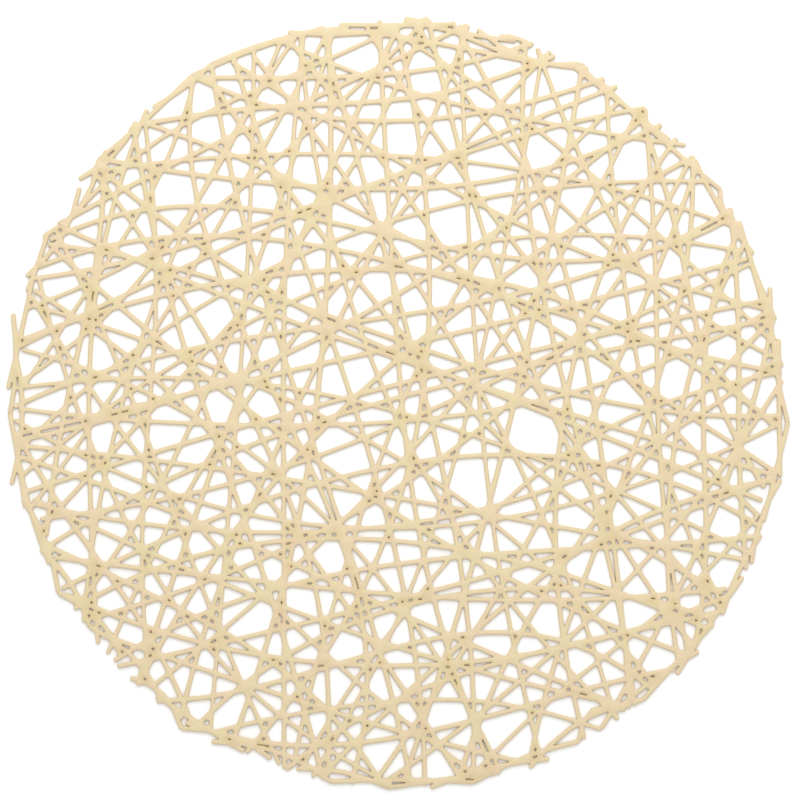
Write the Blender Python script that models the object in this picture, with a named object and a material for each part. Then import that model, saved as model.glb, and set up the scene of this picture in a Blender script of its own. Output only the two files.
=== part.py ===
"""Round openwork placemat, moulded in one piece as a flat web of crossing strands.

A strand is a ribbon of even width whose middle line runs from one point of the rim to another.
The web is the union of all the strands. Its gaps are the areas that no strand covers.
The sheet is the web's outline with its largest gaps cut through, and lies with its underside at z = 0.
"""

import math
import random

import bpy
import numpy as np
from mathutils import Vector
from mathutils.geometry import delaunay_2d_cdt

MM = 0.001                      # one millimetre in metres
ACROSS = 380.0                  # the mat from tip to tip, left to right, mm
THICKNESS = 1.5                 # of the whole sheet, mm
MOST_GAPS = 300                 # gaps cut through, the largest first
EDGE_SLACK = 0.10               # mm by which a simplified edge may leave the strand's own edge
SPAN = 13.0                     # mm between two points of a strand's middle line, about
WELD = 0.0005                   # mm under which two crossing points are one

# Corners of a square round the mat, in mm, so that all the area outside the web is one area.
SURROUND = [(300.0, 300.0), (-300.0, 300.0), (-300.0, -300.0), (300.0, -300.0)]

# Bearings are degrees anticlockwise from +X. A reach is a distance from the mat's centre in mm.

# Strands that run along the rim and shape the outline.
RIM_WIDTH = 2.2
RIM_STRANDS = [
    # start bearing, start reach, middle reach, end bearing, end reach
    (357.0, 191.0, 185.5, 377.2, 190.5),
    (349.0, 190.5, 186.5, 369.5, 188.8),
    (5.3, 188.5, 185.0, 25.6, 187.6),
    (12.4, 189.0, 186.0, 28.0, 189.0),
    (22.7, 188.5, 184.0, 39.3, 187.6),
    (27.0, 189.0, 185.0, 33.5, 189.0),
    (33.5, 189.0, 182.0, 57.7, 185.6),
    (44.0, 184.7, 182.8, 61.8, 187.0),
    (48.7, 183.2, 183.0, 63.4, 186.1),
    (61.8, 187.0, 179.5, 78.0, 186.6),
    (69.4, 186.0, 187.5, 74.5, 186.0),
    (72.0, 186.0, 183.5, 89.0, 187.0),
    (81.7, 187.0, 184.5, 98.8, 187.0),
    (85.5, 188.5, 181.5, 106.5, 189.0),
    (97.5, 185.0, 187.0, 119.0, 189.0),
    (101.4, 186.6, 186.5, 122.3, 189.0),
    (119.0, 189.0, 186.3, 129.7, 187.6),
    (122.3, 189.0, 185.5, 141.0, 188.5),
    (133.0, 188.0, 184.5, 145.0, 190.5),
    (141.0, 188.5, 182.5, 155.0, 191.5),
    (146.0, 188.0, 183.5, 161.3, 192.0),
    (154.0, 190.5, 189.0, 163.3, 189.5),
    (159.8, 189.5, 187.5, 178.0, 191.0),
    (167.0, 193.4, 188.0, 181.7, 190.0),
    (172.5, 189.0, 184.0, 192.0, 193.4),
    (181.7, 190.0, 188.0, 195.7, 189.5),
    (188.0, 188.0, 187.5, 204.8, 188.0),
    (194.5, 189.5, 185.5, 209.3, 190.5),
    (202.3, 189.0, 183.0, 216.0, 186.6),
    (209.3, 190.5, 181.0, 222.3, 183.7),
    (216.0, 186.6, 180.0, 231.0, 185.0),
    (225.8, 188.0, 183.5, 236.4, 191.5),
    (230.5, 186.0, 185.0, 246.2, 186.6),
    (236.4, 191.5, 182.5, 250.4, 185.2),
    (241.2, 189.5, 181.0, 260.0, 188.5),
    (254.5, 186.0, 183.0, 268.6, 188.5),
    (260.0, 188.5, 184.8, 281.2, 189.5),
    (268.6, 188.5, 186.0, 285.5, 187.6),
    (274.8, 189.0, 184.5, 293.0, 189.5),
    (281.2, 189.5, 184.5, 298.0, 188.0),
    (289.8, 190.0, 180.0, 309.5, 188.5),
    (298.0, 188.0, 178.3, 306.5, 187.0),
    (304.7, 185.0, 184.5, 320.4, 191.0),
    (309.5, 188.5, 186.5, 325.0, 188.5),
    (315.7, 190.5, 187.0, 333.2, 189.0),
    (326.8, 189.5, 186.0, 340.0, 189.0),
    (335.5, 190.0, 186.5, 348.7, 191.0),
    (342.0, 188.0, 188.0, 357.0, 191.0),
]

# Long strands across the mat. Each runs from the rim through two points inside it to the rim again.
CROSS_REACH = 188.0
CROSS_WIDTH = 2.2
CROSS_STRANDS = [
    # start bearing, first x, first y, second x, second y, end bearing
    (122.3, -39, 159, 22, 164, 69.4),
    (122.0, -39, 140, 35, 141, 57.5),
    (106.5, -18, 181, 43, 171, 60.3),
    (89.0, 28, 181, 58, 169, 61.8),
    (155.0, -75, 95, 53, 71, 29.0),
    (159.3, -75, 81, 53, 52, 4.5),
    (155.7, -75, 56, 43, 16, 358.0),
    (152.5, -69, 46, 63, 1, 349.0),
    (161.2, -82, 83, 17, 117, 50.0),
    (180.7, -87, 29, 22, 46, 30.0),
    (193.5, -87, -15, 48, 21, 15.5),
    (202.5, -90, -28, 22, 8, 12.5),
    (209.0, -57, -45, 68, -26, 341.0),
    (212.5, -80, -71, 50, -76, 323.8),
    (222.3, -39, -86, 66, -73, 339.6),
    (238.0, -44, -118, 45, -92, 325.5),
    (231.0, -46, -133, 28, -114, 311.6),
    (210.0, -59, -125, 53, -125, 330.0),
    (236.4, -49, -168, 43, -154, 316.0),
    (253.0, -8, -149, 66, -123, 327.0),
    (122.3, -94, 82, -51, -15, 263.0),
    (119.0, -76, 90, -46, -7, 272.0),
    (115.5, -59, 105, -26, 12, 274.0),
    (101.5, -6, 72, 22, -34, 281.2),
    (85.5, 33, 113, 73, 0, 320.4),
    (70.5, 63, 103, 86, -10, 308.0),
    (40.0, 140, 62, 104, -53, 290.0),
    (43.5, 99, 62, 77, -53, 299.0),
    (25.0, 145, 21, 132, -56, 317.0),
    (27.0, 151, 31, 150, -33, 320.4),
    (12.5, 169, -15, 147, -71, 302.0),
    (79.5, -16, 67, -67, -40, 235.5),
    (86.0, -26, 110, -85, 35, 200.0),
]

# Strands that fill the web between the ones above. Their directions are spread evenly, and each
# is the one of several seeded choices that runs where the web is still the emptiest.
FILL_STRANDS = 80
FILL_SEED = 7
FILL_CHOICES = 60
FILL_OFFSET = 0.94              # of the reach, the farthest that a strand passes from the centre
FILL_REACH = (184.0, 189.0)     # shortest and longest
FILL_BEND = 300.0               # radius of the tightest bend, mm
FILL_SWAY = 4.0                 # mm to each side, the most
FILL_WIDTH = (1.8, 2.4)         # mm, narrowest and widest
GOLDEN = (math.sqrt(5) - 1) / 2  # steps by this share of a turn never bunch up

# How crowded the web is, by square cells and by direction.
CELL = 9.0                      # mm
CELLS = 48                      # each way, past the rim
HEADINGS = 9                    # equal ranges of direction
LIKE_WEIGHT = 5.0               # of strands in a like direction, against any strands
CROWD_SPAN = 4.0                # mm between two points of a strand where its crowding is read


def rim_point(bearing, reach):
    """The points at those bearings and distances from the centre."""
    turn = np.radians(bearing)
    return np.stack([reach * np.cos(turn), reach * np.sin(turn)], axis=-1)


def rim_line(row, span):
    """A line along the rim: its reach is the parabola over the bearing through the row's three reaches."""
    start, start_reach, middle_reach, end, end_reach = row
    t = np.linspace(0.0, 1.0, max(4, round(math.radians(end - start) * middle_reach / span)) + 1)
    reach = (
        start_reach * (1 - t) * (1 - 2 * t)
        + middle_reach * 4 * t * (1 - t)
        + end_reach * t * (2 * t - 1)
    )
    return rim_point(start + (end - start) * t, reach)


def cross_line(row, span):
    """The cubic through a row's four stops, by Lagrange's formula over the distance from stop to stop."""
    start, first_x, first_y, second_x, second_y, end = row
    first, last = rim_point(np.array([start, end]), CROSS_REACH)
    stops = np.array([first, (first_x, first_y), (second_x, second_y), last])
    at = np.concatenate([[0.0], np.cumsum(np.hypot(*np.diff(stops, axis=0).T))])
    t = np.linspace(0.0, at[-1], round(at[-1] / span) + 1)
    shares = np.ones((len(t), len(stops)))
    for i, j in np.argwhere(~np.eye(len(stops), dtype=bool)):
        shares[:, i] *= (t - at[j]) / (at[i] - at[j])
    return shares @ stops


def bent_line(start, end, curving, sway, span):
    """From start to end, lifted to the left of the walk by k L^2 t (1 - t) / 2 + s sin(2 pi t)."""
    along = end - start
    length = math.hypot(*along)
    across = np.array([-along[1], along[0]]) / length
    t = np.linspace(0.0, 1.0, max(3, round(length / span)) + 1)[:, None]
    lift = curving * length**2 / 2 * t * (1 - t) + sway * np.sin(2 * math.pi * t)
    return start + along * t + across * lift


def crowd_cells(line):
    """The column, row and direction number of the cell that each point of a line lies in."""
    along = np.gradient(line, axis=0)
    heading = np.degrees(np.arctan2(along[:, 1], along[:, 0])) % 180
    column, row = np.floor(line.T / CELL).astype(int) + CELLS // 2
    return column, row, np.floor(heading * HEADINGS / 180).astype(int) % HEADINGS


def crowd_with(crowd, line):
    """Adds a line to its cells and to the eight cells round each."""
    column, row, heading = crowd_cells(line)
    for aside in (-1, 0, 1):
        for ahead in (-1, 0, 1):
            np.add.at(crowd, (column + aside, row + ahead, heading), 1.0)


def crowding(crowd, line):
    """The mean count of points near a line's points, those in a like direction counted more."""
    column, row, heading = crowd_cells(line)
    near = crowd[column, row]
    like = near[np.arange(len(line)), heading]
    return (near.sum() + LIKE_WEIGHT * like.sum()) / len(line)


def fill_choice(rule, heading):
    """One seeded choice of a strand in that direction, as the values that bent_line takes."""
    off_centre = rule.uniform(-FILL_OFFSET, FILL_OFFSET)
    half_angle = math.degrees(math.acos(abs(off_centre)))
    middle = heading if off_centre > 0 else heading + 180.0
    start = rim_point(middle - half_angle, rule.uniform(*FILL_REACH))
    end = rim_point(middle + half_angle, rule.uniform(*FILL_REACH))
    return start, end, rule.uniform(-1, 1) / FILL_BEND, rule.uniform(-1, 1) * FILL_SWAY


def fill_strands():
    """The fill strands' values for bent_line, each the least crowded of its choices."""
    rule = random.Random(FILL_SEED)
    crowd = np.zeros((CELLS, CELLS, HEADINGS))
    for row in RIM_STRANDS:
        crowd_with(crowd, rim_line(row, CROWD_SPAN))
    for row in CROSS_STRANDS:
        crowd_with(crowd, cross_line(row, CROWD_SPAN))
    strands = []
    for number in range(FILL_STRANDS):
        heading = 180.0 * (number * GOLDEN % 1)
        choices = [fill_choice(rule, heading) for _ in range(FILL_CHOICES)]
        best = min(choices, key=lambda choice: crowding(crowd, bent_line(*choice, CROWD_SPAN)))
        crowd_with(crowd, bent_line(*best, CROWD_SPAN))
        strands.append((best, rule.uniform(*FILL_WIDTH)))
    return strands


def ribbon(line, width):
    """A strand's outline, anticlockwise: half its width to the right of its line, then back on the left."""
    along = np.gradient(line, axis=0)
    along /= np.hypot(*along.T)[:, None]
    aside = np.stack([-along[:, 1], along[:, 0]], axis=1) * width / 2
    return np.concatenate([line - aside, (line + aside)[::-1]])


def web_ribbons():
    ribbons = [ribbon(rim_line(row, SPAN), RIM_WIDTH) for row in RIM_STRANDS]
    ribbons += [ribbon(cross_line(row, SPAN), CROSS_WIDTH) for row in CROSS_STRANDS]
    return ribbons + [ribbon(bent_line(*strand, SPAN), width) for strand, width in fill_strands()]


def triangulated(ribbons):
    """The plane cut at every ribbon's edges: points, triangles, and whether a ribbon covers each triangle."""
    points, faces = [Vector(corner) for corner in SURROUND], []
    for loop in ribbons:
        faces.append(list(range(len(points), len(points) + len(loop))))
        points.extend(Vector(point) for point in loop)
    points, _, triangles, _, _, owners = delaunay_2d_cdt(points, [], faces, 0, WELD, True)
    covered = [bool(ribbons_here) for ribbons_here in owners]
    return [tuple(point) for point in points], [tuple(face) for face in triangles], covered


def chained(edges):
    """Closed loops of points from edges in any order."""
    following = {}
    for a, b in edges:
        following.setdefault(a, []).append(b)
    loops = []
    while following:
        here = next(iter(following))
        loop = []
        while here in following:
            loop.append(here)
            onward = following[here].pop()
            if not following[here]:
                del following[here]
            here = onward
        loops.append(loop)
    return loops


def bare_areas(triangles, covered):
    """Each connected area of bare triangles, as its edges against the ribbons, and the outside area's number."""
    owner = {}
    for index, (a, b, c) in enumerate(triangles):
        owner[(a, b)] = owner[(b, c)] = owner[(c, a)] = index
    seen = list(covered)
    areas, outside = [], 0
    for first in range(len(triangles)):
        if seen[first]:
            continue
        seen[first] = True
        waiting, edges = [first], []
        while waiting:
            a, b, c = triangles[waiting.pop()]
            for edge in ((a, b), (b, c), (c, a)):
                other = owner.get((edge[1], edge[0]))
                if other is None:
                    outside = len(areas)
                elif covered[other]:
                    edges.append(edge)
                elif not seen[other]:
                    seen[other] = True
                    waiting.append(other)
        areas.append(edges)
    return areas, outside


def area(loop):
    total = 0.0
    for (x0, y0), (x1, y1) in zip(loop, loop[1:] + loop[:1]):
        total += x0 * y1 - x1 * y0
    return total / 2


def simplified(loop):
    """The loop without the points that lie within EDGE_SLACK of the line past them, the flattest first."""
    loop = list(loop)
    while len(loop) > 3:
        flattest, least = None, EDGE_SLACK
        for index, (x, y) in enumerate(loop):
            x0, y0 = loop[index - 1]
            x1, y1 = loop[(index + 1) % len(loop)]
            height = abs((x - x0) * (y1 - y0) - (x1 - x0) * (y - y0)) / math.dist((x0, y0), (x1, y1))
            if height < least:
                flattest, least = index, height
        if flattest is None:
            break
        del loop[flattest]
    return loop


def web_loops():
    """The outline, then every gap from the largest down, in mm, centred on the outline's box."""
    points, triangles, covered = triangulated(web_ribbons())
    areas, outside = bare_areas(triangles, covered)
    outline = max(chained(areas[outside]), key=len)
    gaps = [loop for number, edges in enumerate(areas) if number != outside for loop in chained(edges)]
    across = [points[index][0] for index in outline]
    along = [points[index][1] for index in outline]
    middle_x = (min(across) + max(across)) / 2
    middle_y = (min(along) + max(along)) / 2
    scale = ACROSS / (max(across) - min(across))
    placed = [((x - middle_x) * scale, (y - middle_y) * scale) for x, y in points]
    gaps = [[placed[index] for index in loop] for loop in gaps]
    gaps.sort(key=area, reverse=True)
    return [placed[index] for index in outline], gaps


def sheet_object(name, loops, collection):
    """One flat curve filled between its loops, with half its thickness to each side."""
    curve = bpy.data.curves.new(name, "CURVE")
    curve.dimensions = "2D"
    curve.fill_mode = "BOTH"
    curve.extrude = THICKNESS / 2 * MM
    for loop in loops:
        spline = curve.splines.new("POLY")
        spline.points.add(len(loop) - 1)
        for point, (x, y) in zip(spline.points, loop):
            point.co = (x * MM, y * MM, 0.0, 1.0)
        spline.use_cyclic_u = True
    sheet = bpy.data.objects.new(name, curve)
    sheet.location.z = THICKNESS / 2 * MM
    collection.objects.link(sheet)
    return sheet


def vinyl():
    material = bpy.data.materials.new("peach_cream_vinyl")
    material.use_nodes = True
    shader = material.node_tree.nodes["Principled BSDF"]
    shader.inputs["Base Color"].default_value = (0.84, 0.66, 0.43, 1.0)
    shader.inputs["Roughness"].default_value = 0.55
    return material


def main():
    for thing in list(bpy.data.objects):
        bpy.data.objects.remove(thing)
    collection = bpy.data.collections.new("round_placemat")
    bpy.context.scene.collection.children.link(collection)
    outline, gaps = web_loops()
    loops = [simplified(loop) for loop in [outline] + gaps[:MOST_GAPS]]
    placemat = sheet_object("placemat", loops, collection)
    placemat.data.materials.append(vinyl())


main()
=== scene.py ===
"""Looks of the round openwork placemat: one moulded sheet of crossing strands in satin peach-cream vinyl.

The web is worked out from the same strands as its solid. Its edges are followed as rings of points, the
corners of its gaps are rounded, and the rings are carried up a rounded profile to the flat crown.
Lengths of the web are in mm until its mesh is made, and all else is in metres.
"""

import math
import random

import bpy
import numpy as np
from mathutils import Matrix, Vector
from mathutils.geometry import delaunay_2d_cdt


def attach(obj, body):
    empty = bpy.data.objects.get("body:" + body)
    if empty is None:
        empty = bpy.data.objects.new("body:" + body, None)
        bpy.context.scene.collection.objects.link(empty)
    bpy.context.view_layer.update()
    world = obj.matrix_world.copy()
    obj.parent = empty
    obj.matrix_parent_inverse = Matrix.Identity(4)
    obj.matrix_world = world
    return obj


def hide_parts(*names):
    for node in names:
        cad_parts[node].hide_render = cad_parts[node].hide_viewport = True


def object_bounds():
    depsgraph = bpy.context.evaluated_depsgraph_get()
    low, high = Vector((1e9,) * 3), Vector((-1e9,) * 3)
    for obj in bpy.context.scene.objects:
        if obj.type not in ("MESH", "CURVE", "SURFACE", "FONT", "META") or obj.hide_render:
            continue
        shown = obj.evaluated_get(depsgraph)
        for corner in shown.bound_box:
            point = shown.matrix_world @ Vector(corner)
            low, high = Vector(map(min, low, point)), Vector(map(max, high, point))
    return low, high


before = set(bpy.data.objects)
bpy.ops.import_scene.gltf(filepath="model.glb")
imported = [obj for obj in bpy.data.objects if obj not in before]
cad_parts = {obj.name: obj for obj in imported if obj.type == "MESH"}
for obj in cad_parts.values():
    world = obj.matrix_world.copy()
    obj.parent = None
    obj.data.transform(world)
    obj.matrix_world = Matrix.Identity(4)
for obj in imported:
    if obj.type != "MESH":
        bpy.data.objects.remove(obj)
cad_low, cad_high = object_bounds()

MM = 0.001                      # one millimetre in metres
SPAN = 12.0                     # mm between two points of a strand's middle line, about
WELD = 0.0005                   # mm under which two crossing points are one
LEAST_EDGE = 0.35               # mm, the shortest edge that a gap or the outline keeps
LEAST_GAP = 0.70                # mm2, the smallest gap that stays open
SMALL_GAP = 9.0                 # mm2, the gaps below this have their corners cut and not rounded
ROUNDING = 0.75                 # mm, radius of the gaps' corners
EDGE_SHARE = 0.45               # of an edge, the most that a rounded corner takes
LEAST_TANGENT = 0.001           # keeps a nearly straight corner's curve from having no length
GENTLE_TURN = 0.25              # radians, a corner that turns less takes one point
SHARP_TURN = 2.3                # radians, a corner that turns less takes three points, and others four
SHARPEST_TURN = 2.9             # radians, a corner that turns more is rounded as if it turned by this
SMALL_GAP_POINTS = 2            # the most that a corner of a small gap takes
INSET_OF_RADIUS = 0.8           # of a corner's own radius, the most that the crown is inset there
SHARE_STEP = 0.5                # the most by which the inset's share grows from a corner to the next
SAME_POINT = 0.000001           # mm under which two points of the finished rings are one
PIT_GAP = 7.0                   # mm2, the gaps below this get painted shade inside, the smallest the most

# The profile of a strand's edge, from the underside up to the crown: how far each ring lies inside
# the edge in mm, its height as a share of the thickness, and how much painted shade darkens its colour, 0 at
# the crown.
PROFILE = [
    # inset, height, painted shade
    (0.06, 0.00, 1.00),
    (0.00, 0.50, 0.80),
    (0.17, 0.87, 0.35),
    (0.55, 1.00, 0.00),
]
EASING_STEPS = 12
EASING = 0.7                    # what an inset is multiplied by in each step, where the crown would fold
UNEVENNESS = 0.06               # share of the thickness by which the crown dips here and there

# Corners of a square round the mat, in mm, so that all the area outside the web is one area.
SURROUND = [(300.0, 300.0), (-300.0, 300.0), (-300.0, -300.0), (300.0, -300.0)]

# Bearings are degrees anticlockwise from +X. A reach is a distance from the mat's centre in mm.

# Strands that run along the rim and shape the outline.
RIM_WIDTH = 2.2
RIM_STRANDS = [
    # start bearing, start reach, middle reach, end bearing, end reach
    (357.0, 191.0, 185.5, 377.2, 190.5),
    (349.0, 190.5, 186.5, 369.5, 188.8),
    (5.3, 188.5, 185.0, 25.6, 187.6),
    (12.4, 189.0, 186.0, 28.0, 189.0),
    (22.7, 188.5, 184.0, 39.3, 187.6),
    (27.0, 189.0, 185.0, 33.5, 189.0),
    (33.5, 189.0, 182.0, 57.7, 185.6),
    (44.0, 184.7, 182.8, 61.8, 187.0),
    (48.7, 183.2, 183.0, 63.4, 186.1),
    (61.8, 187.0, 179.5, 78.0, 186.6),
    (69.4, 186.0, 187.5, 74.5, 186.0),
    (72.0, 186.0, 183.5, 89.0, 187.0),
    (81.7, 187.0, 184.5, 98.8, 187.0),
    (85.5, 188.5, 181.5, 106.5, 189.0),
    (97.5, 185.0, 187.0, 119.0, 189.0),
    (101.4, 186.6, 186.5, 122.3, 189.0),
    (119.0, 189.0, 186.3, 129.7, 187.6),
    (122.3, 189.0, 185.5, 141.0, 188.5),
    (133.0, 188.0, 184.5, 145.0, 190.5),
    (141.0, 188.5, 182.5, 155.0, 191.5),
    (146.0, 188.0, 183.5, 161.3, 192.0),
    (154.0, 190.5, 189.0, 163.3, 189.5),
    (159.8, 189.5, 187.5, 178.0, 191.0),
    (167.0, 193.4, 188.0, 181.7, 190.0),
    (172.5, 189.0, 184.0, 192.0, 193.4),
    (181.7, 190.0, 188.0, 195.7, 189.5),
    (188.0, 188.0, 187.5, 204.8, 188.0),
    (194.5, 189.5, 185.5, 209.3, 190.5),
    (202.3, 189.0, 183.0, 216.0, 186.6),
    (209.3, 190.5, 181.0, 222.3, 183.7),
    (216.0, 186.6, 180.0, 231.0, 185.0),
    (225.8, 188.0, 183.5, 236.4, 191.5),
    (230.5, 186.0, 185.0, 246.2, 186.6),
    (236.4, 191.5, 182.5, 250.4, 185.2),
    (241.2, 189.5, 181.0, 260.0, 188.5),
    (254.5, 186.0, 183.0, 268.6, 188.5),
    (260.0, 188.5, 184.8, 281.2, 189.5),
    (268.6, 188.5, 186.0, 285.5, 187.6),
    (274.8, 189.0, 184.5, 293.0, 189.5),
    (281.2, 189.5, 184.5, 298.0, 188.0),
    (289.8, 190.0, 180.0, 309.5, 188.5),
    (298.0, 188.0, 178.3, 306.5, 187.0),
    (304.7, 185.0, 184.5, 320.4, 191.0),
    (309.5, 188.5, 186.5, 325.0, 188.5),
    (315.7, 190.5, 187.0, 333.2, 189.0),
    (326.8, 189.5, 186.0, 340.0, 189.0),
    (335.5, 190.0, 186.5, 348.7, 191.0),
    (342.0, 188.0, 188.0, 357.0, 191.0),
]

# Long strands across the mat. Each runs from the rim through two points inside it to the rim again.
CROSS_REACH = 188.0
CROSS_WIDTH = 2.2
CROSS_STRANDS = [
    # start bearing, first x, first y, second x, second y, end bearing
    (122.3, -39, 159, 22, 164, 69.4),
    (122.0, -39, 140, 35, 141, 57.5),
    (106.5, -18, 181, 43, 171, 60.3),
    (89.0, 28, 181, 58, 169, 61.8),
    (155.0, -75, 95, 53, 71, 29.0),
    (159.3, -75, 81, 53, 52, 4.5),
    (155.7, -75, 56, 43, 16, 358.0),
    (152.5, -69, 46, 63, 1, 349.0),
    (161.2, -82, 83, 17, 117, 50.0),
    (180.7, -87, 29, 22, 46, 30.0),
    (193.5, -87, -15, 48, 21, 15.5),
    (202.5, -90, -28, 22, 8, 12.5),
    (209.0, -57, -45, 68, -26, 341.0),
    (212.5, -80, -71, 50, -76, 323.8),
    (222.3, -39, -86, 66, -73, 339.6),
    (238.0, -44, -118, 45, -92, 325.5),
    (231.0, -46, -133, 28, -114, 311.6),
    (210.0, -59, -125, 53, -125, 330.0),
    (236.4, -49, -168, 43, -154, 316.0),
    (253.0, -8, -149, 66, -123, 327.0),
    (122.3, -94, 82, -51, -15, 263.0),
    (119.0, -76, 90, -46, -7, 272.0),
    (115.5, -59, 105, -26, 12, 274.0),
    (101.5, -6, 72, 22, -34, 281.2),
    (85.5, 33, 113, 73, 0, 320.4),
    (70.5, 63, 103, 86, -10, 308.0),
    (40.0, 140, 62, 104, -53, 290.0),
    (43.5, 99, 62, 77, -53, 299.0),
    (25.0, 145, 21, 132, -56, 317.0),
    (27.0, 151, 31, 150, -33, 320.4),
    (12.5, 169, -15, 147, -71, 302.0),
    (79.5, -16, 67, -67, -40, 235.5),
    (86.0, -26, 110, -85, 35, 200.0),
]

# Strands that fill the web between the ones above. Their directions are spread evenly, and each
# is the one of several seeded choices that runs where the web is still the emptiest.
FILL_STRANDS = 80
FILL_SEED = 7
FILL_CHOICES = 60
FILL_OFFSET = 0.94              # of the reach, the farthest that a strand passes from the centre
FILL_REACH = (184.0, 189.0)     # shortest and longest
FILL_BEND = 300.0               # radius of the tightest bend, mm
FILL_SWAY = 4.0                 # mm to each side, the most
FILL_WIDTH = (1.8, 2.4)         # mm, narrowest and widest
GOLDEN = (math.sqrt(5) - 1) / 2  # steps by this share of a turn never bunch up

# How crowded the web is, by square cells and by direction.
CELL = 9.0                      # mm
CELLS = 48                      # each way, past the rim
HEADINGS = 9                    # equal ranges of direction
LIKE_WEIGHT = 5.0               # of strands in a like direction, against any strands
CROWD_SPAN = 4.0                # mm between two points of a strand where its crowding is read

# The photograph looks straight down. Its width, and the mat's centre and width in it, are in pixels.
PHOTO_WIDTH = 800
MAT_CENTRE = (398, 403)
MAT_PIXELS = 784                # from tip to tip, left to right
LENS = 135.0                    # mm
SENSOR = 36.0                   # mm

# The vinyl's tones, two ochres for painted shade, and the scales of its patterns, in features per metre.
PEACH = (0.68, 0.54, 0.355, 1.0)
CREAM = (0.665, 0.565, 0.335, 1.0)
# Painted shade: the ochre that darkens the strands' sides towards the underside.
SIDE_SHADE_OCHRE = (0.60, 0.43, 0.20, 1.0)
# Painted shade: the ochre that darkens the inside of the smallest gaps.
PIT_SHADE_OCHRE = (0.52, 0.37, 0.13, 1.0)
CLOUD_SCALE = 34.0
FLECK_SCALE = 330.0
COARSE_GRAIN_SCALE = 500.0
SHEEN_SCALE = 700.0
FINE_GRAIN_SCALE = 2600.0
GRAIN_DEPTH = 0.0001            # m

# The setting, in metres and watts.
WHITE = (1.0, 1.0, 1.0, 1.0)
FLOOR_WHITE = (0.93, 0.93, 0.93, 1.0)
FLOOR_HALF = 3.0                # from its middle to its side
FLOOR_DROP = 0.0002             # below the mat's underside
SURROUND_LIGHT = 0.90
LAMP_PLACE = (0.05, 0.75, 0.8)
LAMP_SIZE = 0.9
LAMP_POWER = 7.0


def rim_point(bearing, reach):
    """The points at those bearings and distances from the centre."""
    turn = np.radians(bearing)
    return np.stack([reach * np.cos(turn), reach * np.sin(turn)], axis=-1)


def rim_line(row, span):
    """A line along the rim: its reach is the parabola over the bearing through the row's three reaches."""
    start, start_reach, middle_reach, end, end_reach = row
    t = np.linspace(0.0, 1.0, max(4, round(math.radians(end - start) * middle_reach / span)) + 1)
    reach = (
        start_reach * (1 - t) * (1 - 2 * t)
        + middle_reach * 4 * t * (1 - t)
        + end_reach * t * (2 * t - 1)
    )
    return rim_point(start + (end - start) * t, reach)


def cross_line(row, span):
    """The cubic through a row's four stops, by Lagrange's formula over the distance from stop to stop."""
    start, first_x, first_y, second_x, second_y, end = row
    first, last = rim_point(np.array([start, end]), CROSS_REACH)
    stops = np.array([first, (first_x, first_y), (second_x, second_y), last])
    at = np.concatenate([[0.0], np.cumsum(np.hypot(*np.diff(stops, axis=0).T))])
    t = np.linspace(0.0, at[-1], round(at[-1] / span) + 1)
    shares = np.ones((len(t), len(stops)))
    for i, j in np.argwhere(~np.eye(len(stops), dtype=bool)):
        shares[:, i] *= (t - at[j]) / (at[i] - at[j])
    return shares @ stops


def bent_line(start, end, curving, sway, span):
    """From start to end, lifted to the left of the walk by k L^2 t (1 - t) / 2 + s sin(2 pi t)."""
    along = end - start
    length = math.hypot(*along)
    across = np.array([-along[1], along[0]]) / length
    t = np.linspace(0.0, 1.0, max(3, round(length / span)) + 1)[:, None]
    lift = curving * length**2 / 2 * t * (1 - t) + sway * np.sin(2 * math.pi * t)
    return start + along * t + across * lift


def crowd_cells(line):
    """The column, row and direction number of the cell that each point of a line lies in."""
    along = np.gradient(line, axis=0)
    heading = np.degrees(np.arctan2(along[:, 1], along[:, 0])) % 180
    column, row = np.floor(line.T / CELL).astype(int) + CELLS // 2
    return column, row, np.floor(heading * HEADINGS / 180).astype(int) % HEADINGS


def crowd_with(crowd, line):
    """Adds a line to its cells and to the eight cells round each."""
    column, row, heading = crowd_cells(line)
    for aside in (-1, 0, 1):
        for ahead in (-1, 0, 1):
            np.add.at(crowd, (column + aside, row + ahead, heading), 1.0)


def crowding(crowd, line):
    """The mean count of points near a line's points, those in a like direction counted more."""
    column, row, heading = crowd_cells(line)
    near = crowd[column, row]
    like = near[np.arange(len(line)), heading]
    return (near.sum() + LIKE_WEIGHT * like.sum()) / len(line)


def fill_choice(rule, heading):
    """One seeded choice of a strand in that direction, as the values that bent_line takes."""
    off_centre = rule.uniform(-FILL_OFFSET, FILL_OFFSET)
    half_angle = math.degrees(math.acos(abs(off_centre)))
    middle = heading if off_centre > 0 else heading + 180.0
    start = rim_point(middle - half_angle, rule.uniform(*FILL_REACH))
    end = rim_point(middle + half_angle, rule.uniform(*FILL_REACH))
    return start, end, rule.uniform(-1, 1) / FILL_BEND, rule.uniform(-1, 1) * FILL_SWAY


def fill_strands():
    """The fill strands' values for bent_line, each the least crowded of its choices."""
    rule = random.Random(FILL_SEED)
    crowd = np.zeros((CELLS, CELLS, HEADINGS))
    for row in RIM_STRANDS:
        crowd_with(crowd, rim_line(row, CROWD_SPAN))
    for row in CROSS_STRANDS:
        crowd_with(crowd, cross_line(row, CROWD_SPAN))
    strands = []
    for number in range(FILL_STRANDS):
        heading = 180.0 * (number * GOLDEN % 1)
        choices = [fill_choice(rule, heading) for _ in range(FILL_CHOICES)]
        best = min(choices, key=lambda choice: crowding(crowd, bent_line(*choice, CROWD_SPAN)))
        crowd_with(crowd, bent_line(*best, CROWD_SPAN))
        strands.append((best, rule.uniform(*FILL_WIDTH)))
    return strands


def ribbon(line, width):
    """A strand's outline, anticlockwise: half its width to the right of its line, then back on the left."""
    along = np.gradient(line, axis=0)
    along /= np.hypot(*along.T)[:, None]
    aside = np.stack([-along[:, 1], along[:, 0]], axis=1) * width / 2
    return np.concatenate([line - aside, (line + aside)[::-1]])


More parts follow.
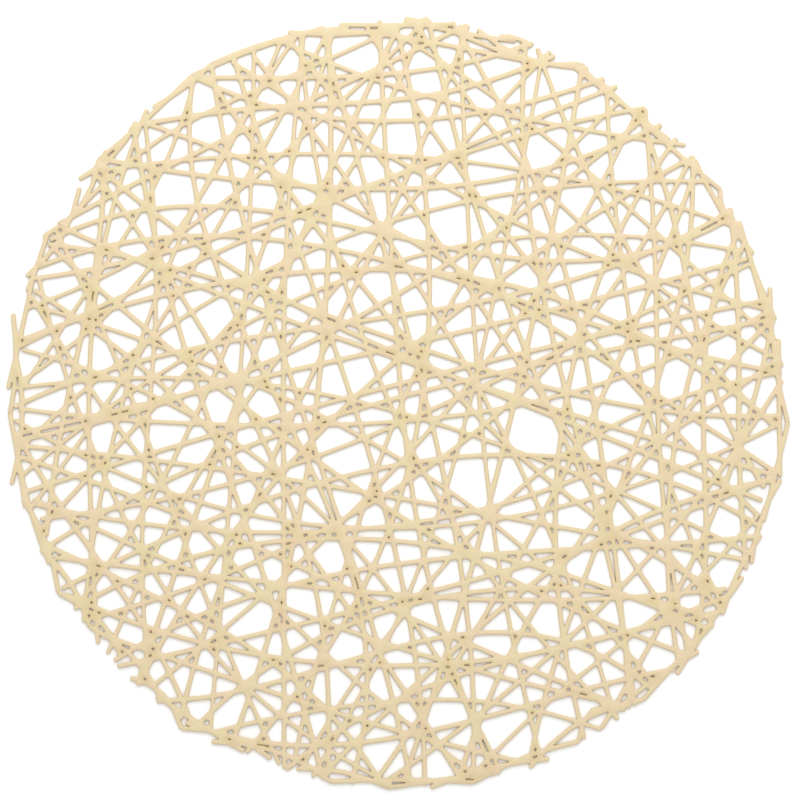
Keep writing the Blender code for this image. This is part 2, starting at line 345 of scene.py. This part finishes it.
def web_ribbons():
    """Every strand's outline: the rim's, then the long ones across, then the ones that fill the web."""
    ribbons = [ribbon(rim_line(row, SPAN), RIM_WIDTH) for row in RIM_STRANDS]
    ribbons += [ribbon(cross_line(row, SPAN), CROSS_WIDTH) for row in CROSS_STRANDS]
    return ribbons + [ribbon(bent_line(*strand, SPAN), width) for strand, width in fill_strands()]


def covered_plane(ribbons):
    """The plane cut at every ribbon's edges: its points, and the triangles that some ribbon covers."""
    counts = np.cumsum([len(SURROUND)] + [len(loop) for loop in ribbons])
    faces = [list(range(a, b)) for a, b in zip(counts, counts[1:])]
    points = np.concatenate([np.array(SURROUND)] + ribbons)
    cut = delaunay_2d_cdt([Vector(point) for point in points], [], faces, 0, WELD, True)
    covered = np.array([bool(owners) for owners in cut[5]])
    return np.array([tuple(point) for point in cut[0]]), np.array(cut[2])[covered]


def rank_among_equals(values):
    """For each value, how many equal ones stand before it."""
    order = np.argsort(values, kind="stable")
    ranks = np.empty(len(values), int)
    ranks[order] = np.arange(len(values)) - np.searchsorted(values[order], values[order])
    return ranks


def edge_rings(triangles, count):
    """The edges with no triangle on their right, in walking order, as point numbers and ring numbers.

    Each edge is followed by the one that starts where it ends. A ring is named after its least edge,
    and an edge's place in it is its distance to the ring's last edge, both found by doubling the step.
    """
    edges = np.concatenate([triangles[:, [0, 1]], triangles[:, [1, 2]], triangles[:, [2, 0]]])
    forward = edges[:, 0] * count + edges[:, 1]
    backward = edges[:, 1] * count + edges[:, 0]
    edges = edges[~np.isin(forward, backward)]
    edges = edges[np.argsort(edges[:, 0], kind="stable")]
    onward = np.searchsorted(edges[:, 0], edges[:, 1]) + rank_among_equals(edges[:, 1])
    doublings = math.ceil(math.log2(len(edges)))
    ring = np.arange(len(edges))
    step = onward
    for _ in range(doublings):
        ring = np.minimum(ring, ring[step])
        step = step[step]
    is_last = onward == ring
    left = np.where(is_last, 0, 1)
    step = np.where(is_last, np.arange(len(edges)), onward)
    for _ in range(doublings):
        left = left + left[step]
        step = step[step]
    order = np.lexsort((-left, ring))
    return edges[order, 0], ring[order]


def neighbours(ring):
    """The numbers of the points before and after each point of its ring."""
    index = np.arange(len(ring))
    first = np.concatenate([[True], ring[1:] != ring[:-1]])
    last = np.concatenate([first[1:], [True]])
    which = np.cumsum(first) - 1
    before = np.where(first, index[last][which], index - 1)
    after = np.where(last, index[first][which], index + 1)
    return before, after


def ring_areas(points, ring):
    """Each point's ring's area, half the sum of the cross products of its points and the next ones."""
    _, after = neighbours(ring)
    cross = points[:, 0] * points[after, 1] - points[:, 1] * points[after, 0]
    _, which = np.unique(ring, return_inverse=True)
    return (np.bincount(which, cross) / 2)[which]


def clean_rings(points, ring):
    """The rings without their shortest edges, and without the gaps that are too small to stay open."""
    for _ in range(2):
        before, _ = neighbours(ring)
        keep = np.hypot(*(points - points[before]).T) >= LEAST_EDGE
        points, ring = points[keep], ring[keep]
    area = ring_areas(points, ring)
    keep = (area < -LEAST_GAP) | (area == area.max())
    return points[keep], ring[keep], -area[keep]


def rounded_rings(points, ring, area):
    """Each corner P replaced by a curve from A to B, (1 - t)^2 A + 2 t (1 - t) P + t^2 B.

    A and B lie on its two edges at the rounding's radius times the tangent of half the turn. The sharper
    the turn, the more points the curve takes, but in a small gap it takes two at most. Returned are the
    points, their rings, their inward directions, the share of the profile's inset that they take, and
    the areas of their gaps.
    """
    before, after = neighbours(ring)
    back = points[before] - points
    ahead = points[after] - points
    back_length = np.hypot(*back.T)
    ahead_length = np.hypot(*ahead.T)
    back = back / back_length[:, None]
    ahead = ahead / ahead_length[:, None]
    turn = np.arctan2(ahead[:, 0] * back[:, 1] - ahead[:, 1] * back[:, 0], -(back * ahead).sum(axis=1))
    angle = np.abs(turn)
    tangent = np.maximum(np.tan(np.minimum(angle, SHARPEST_TURN) / 2), LEAST_TANGENT)
    cut = np.minimum(ROUNDING * tangent, EDGE_SHARE * np.minimum(back_length, ahead_length))
    share = np.where(turn > 0, np.minimum(1.0, INSET_OF_RADIUS * cut / tangent / PROFILE[-1][0]), 1.0)
    share = np.minimum(share, np.minimum(share[before], share[after]) + SHARE_STEP)
    count = np.select([angle < GENTLE_TURN, angle < SHARP_TURN], [1, 3], 4)
    count = np.where((area > 0) & (area < SMALL_GAP), np.minimum(count, SMALL_GAP_POINTS), count)
    source = np.repeat(np.arange(len(points)), count)
    place = np.arange(len(source)) - np.repeat(np.cumsum(count) - count, count)
    t = np.where(count[source] == 1, 0.5, place / np.maximum(count[source] - 1, 1))[:, None]
    reach = cut[source, None]
    rounded = points[source] + reach * ((1 - t) ** 2 * back[source] + t**2 * ahead[source])
    along = t * ahead[source] - (1 - t) * back[source]
    along /= np.hypot(*along.T)[:, None]
    inward = np.stack([-along[:, 1], along[:, 0]], axis=1)
    return rounded, ring[source], inward, share[source], area[source]


def fitted(points, ring):
    """The points centred on the outline's box and scaled to the width of the solid."""
    outline = points[ring == ring[np.argmax(ring_areas(points, ring))]]
    low, high = outline.min(axis=0), outline.max(axis=0)
    scale = (cad_high.x - cad_low.x) / MM / (high[0] - low[0])
    return (points - (low + high) / 2) * scale


def filled(points, ring):
    """The triangles that lie in the outline's ring and in no gap's ring, anticlockwise, as point numbers."""
    area = ring_areas(points, ring)
    starts = np.flatnonzero(ring[1:] != ring[:-1]) + 1
    rings = np.split(np.arange(len(points)), starts)
    faces = [(each if area[each[0]] > 0 else each[::-1]).tolist() for each in rings]
    cut = delaunay_2d_cdt([Vector(point) for point in points], [], faces, 0, SAME_POINT, True)
    number = np.array([owners[0] for owners in cut[3]])
    solid = np.array([len(owners) == 1 for owners in cut[5]])
    return number[np.array(cut[2])[solid]]


def eased(points, inward, share, triangles):
    """The inset shares, made smaller step by step where the crown's triangles would fold over."""
    share = share.copy()
    for _ in range(EASING_STEPS):
        crown = points + inward * (PROFILE[-1][0] * share)[:, None]
        a, b, c = np.moveaxis(crown[triangles], 1, 0)
        area = (b[:, 0] - a[:, 0]) * (c[:, 1] - a[:, 1]) - (b[:, 1] - a[:, 1]) * (c[:, 0] - a[:, 0])
        folded = np.unique(triangles[area < 0])
        share[folded] *= EASING
    return share


def unevenness(points):
    """A height factor between 1 and 1 - UNEVENNESS: three long waves added, and brought into that range.

    One wave is patches, the product of a sine of x and a sine of y. The other two run at a slant.
    """
    x, y = points.T
    patches = np.sin(x / 23 + 1.3) * np.sin(y / 31)
    slant = 0.6 * np.sin((x + y) / 17)
    steep_slant = 0.8 * np.sin((x - 2 * y) / 41 + 2)
    highest = 2.4
    return 1 - UNEVENNESS * (patches + slant + steep_slant + highest) / (2 * highest)


def moulded_web():
    """The web as one closed mesh: its rings of edge points carried up the profile, and both faces filled.

    A point at one level of the profile stands inside its ring by the level's inset times the point's
    share, at the level's height times the thickness and the crown's unevenness there.
    """
    points, triangles = covered_plane(web_ribbons())
    numbers, ring = edge_rings(triangles, len(points))
    points, ring, area = clean_rings(points[numbers], ring)
    points, ring, inward, share, area = rounded_rings(points, ring, area)
    points = fitted(points, ring)
    triangles = filled(points, ring)
    share = eased(points, inward, share, triangles)
    _, after = neighbours(ring)
    here = np.arange(len(points))
    thickness = (cad_high.z - cad_low.z) / MM
    height = thickness * unevenness(points)
    layers, faces, wall_shades = [], [], []
    for level, (inset, rise, wall_shade) in enumerate(PROFILE):
        flat = points + inward * (inset * share)[:, None]
        layers.append(np.column_stack([flat, height * rise]))
        # How much painted shade darkens this level's colour, the most at the underside.
        wall_shades.append(np.full(len(points), wall_shade))
        if level:
            low, high = (level - 1) * len(points), level * len(points)
            faces.append(np.stack([here + low, after + low, after + high], axis=1))
            faces.append(np.stack([here + low, after + high, here + high], axis=1))
    faces.append(triangles[:, ::-1])
    faces.append(triangles + (len(PROFILE) - 1) * len(points))
    mesh = bpy.data.meshes.new("moulded_web")
    mesh.from_pydata((np.concatenate(layers) * MM).tolist(), [], np.concatenate(faces).tolist())
    mesh.shade_smooth()
    # How much painted shade darkens the inside of each small gap, the smallest the most.
    pit_shade = np.where(area > 0, np.clip(1 - area / PIT_GAP, 0, 1), 0)
    # Painted shade for the colour: down the strands' sides, and inside the smallest gaps.
    for name, values in (("wall_shade", np.concatenate(wall_shades)), ("pit_shade", np.tile(pit_shade, len(PROFILE)))):
        layer = mesh.attributes.new(name, "FLOAT", "POINT")
        layer.data.foreach_set("value", values.astype(np.float32))
    web = bpy.data.objects.new("moulded_web", mesh)
    bpy.context.scene.collection.objects.link(web)
    return web


class Nodes:
    """A short way to add a material's nodes and links."""

    def __init__(self, name):
        self.material = bpy.data.materials.new(name)
        self.material.use_nodes = True
        self.tree = self.material.node_tree
        self.shader = self.tree.nodes["Principled BSDF"]
        self.place = self.add("ShaderNodeTexCoord").outputs["Object"]

    def add(self, kind, links=(), **values):
        node = self.tree.nodes.new(kind)
        for name, value in values.items():
            setattr(node, name, value)
        for socket, source in links:
            self.feed(node.inputs[socket], source)
        return node

    def feed(self, socket, source):
        """Links another node's output to the socket, or gives it a fixed value."""
        if isinstance(source, bpy.types.NodeSocket):
            self.tree.links.new(source, socket)
        else:
            socket.default_value = source

    def noise(self, scale):
        """A soft cloud pattern, between 0 and 1 and mostly near the middle."""
        links = [("Vector", self.place), ("Scale", scale), ("Detail", 2.0)]
        return self.add("ShaderNodeTexNoise", links).outputs["Fac"]

    def mix(self, share, first, second):
        """The first colour with that share of the second."""
        node = self.add("ShaderNodeMix", data_type="RGBA")
        for name, source in (("Factor", share), ("A", first), ("B", second)):
            socket = next(item for item in node.inputs if item.name == name and item.enabled)
            self.feed(socket, source)
        return next(item for item in node.outputs if item.enabled)

    def span(self, value, low, high, to_low=0.0, to_high=1.0):
        """The value carried from one range to another, and held inside it."""
        links = [
            ("Value", value),
            ("From Min", low),
            ("From Max", high),
            ("To Min", to_low),
            ("To Max", to_high),
        ]
        return self.add("ShaderNodeMapRange", links).outputs["Result"]

    def sum(self, first, second):
        return self.add("ShaderNodeMath", [(0, first), (1, second)], operation="ADD").outputs["Value"]

    def part_of(self, value, share):
        links = [(0, value), (1, share)]
        return self.add("ShaderNodeMath", links, operation="MULTIPLY").outputs["Value"]

    def attribute(self, name):
        return self.add("ShaderNodeAttribute", attribute_name=name).outputs["Fac"]


def satin_vinyl():
    """Peach-cream vinyl: cloudy between two tones, with painted shade in ochre down the strands' sides and
    inside the smallest gaps, and a moulded grain.
    """
    nodes = Nodes("satin_vinyl")
    clouds = nodes.span(nodes.noise(CLOUD_SCALE), 0.38, 0.62)
    flecks = nodes.span(nodes.noise(FLECK_SCALE), 0.35, 0.65)
    cloudy = nodes.sum(nodes.part_of(clouds, 0.55), nodes.part_of(flecks, 0.4))
    tone = nodes.mix(cloudy, PEACH, CREAM)
    # Painted shade: ochre down the strands' sides, from the crown to the underside.
    tone = nodes.mix(nodes.part_of(nodes.attribute("wall_shade"), 0.7), tone, SIDE_SHADE_OCHRE)
    # Painted shade: ochre inside the smallest gaps.
    tone = nodes.mix(nodes.part_of(nodes.attribute("pit_shade"), 0.4), tone, PIT_SHADE_OCHRE)
    nodes.feed(nodes.shader.inputs["Base Color"], tone)
    fine_grain = nodes.noise(FINE_GRAIN_SCALE)
    grain = nodes.sum(fine_grain, nodes.part_of(nodes.noise(COARSE_GRAIN_SCALE), 0.8))
    bump = nodes.add("ShaderNodeBump", [("Height", grain), ("Strength", 0.25), ("Distance", GRAIN_DEPTH)])
    nodes.feed(nodes.shader.inputs["Normal"], bump.outputs["Normal"])
    nodes.feed(nodes.shader.inputs["Roughness"], nodes.span(nodes.noise(SHEEN_SCALE), 0.3, 0.7, 0.46, 0.62))
    nodes.shader.inputs["IOR"].default_value = 1.5
    nodes.shader.inputs["Specular IOR Level"].default_value = 0.4
    return nodes.material


def white_floor():
    """A plain near-white floor just under the mat."""
    nodes = Nodes("white_floor")
    nodes.shader.inputs["Base Color"].default_value = FLOOR_WHITE
    nodes.shader.inputs["Roughness"].default_value = 0.9
    nodes.shader.inputs["Specular IOR Level"].default_value = 0.1
    mesh = bpy.data.meshes.new("floor")
    sides = [(-1, -1), (1, -1), (1, 1), (-1, 1)]
    corners = [(x * FLOOR_HALF, y * FLOOR_HALF, -FLOOR_DROP) for x, y in sides]
    mesh.from_pydata(corners, [], [(0, 1, 2, 3)])
    mesh.materials.append(nodes.material)
    floor = bpy.data.objects.new("floor", mesh)
    bpy.context.scene.collection.objects.link(floor)
    return floor


def soft_light(name, place, size, power):
    """A square lamp that faces the mat's centre."""
    light = bpy.data.lights.new(name, "AREA")
    light.size = size
    light.energy = power
    lamp = bpy.data.objects.new(name, light)
    lamp.location = place
    lamp.rotation_euler = (-Vector(place)).to_track_quat("-Z", "Y").to_euler()
    bpy.context.scene.collection.objects.link(lamp)


def studio():
    """A bright even surround, and a broad lamp beyond the mat, which shades the strands' near edges."""
    world = bpy.data.worlds.new("studio")
    world.use_nodes = True
    background = world.node_tree.nodes["Background"]
    background.inputs["Color"].default_value = WHITE
    background.inputs["Strength"].default_value = SURROUND_LIGHT
    bpy.context.scene.world = world
    soft_light("far_side", LAMP_PLACE, LAMP_SIZE, LAMP_POWER)
    bpy.context.scene.view_settings.view_transform = "Standard"


def camera():
    """Straight down from above, at the height that gives the mat its width in the photograph."""
    metres_per_pixel = (cad_high.x - cad_low.x) / MAT_PIXELS
    view = bpy.data.cameras.new("camera")
    view.lens = LENS
    view.sensor_width = SENSOR
    eye = bpy.data.objects.new("camera", view)
    half = PHOTO_WIDTH / 2
    eye.location = (
        (half - MAT_CENTRE[0]) * metres_per_pixel,
        (MAT_CENTRE[1] - half) * metres_per_pixel,
        PHOTO_WIDTH * metres_per_pixel * LENS / SENSOR + cad_high.z,
    )
    bpy.context.scene.collection.objects.link(eye)
    bpy.context.scene.camera = eye


camera()
studio()
white_floor()
web = moulded_web()
web.data.materials.append(satin_vinyl())
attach(web, "root")
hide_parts("placemat")
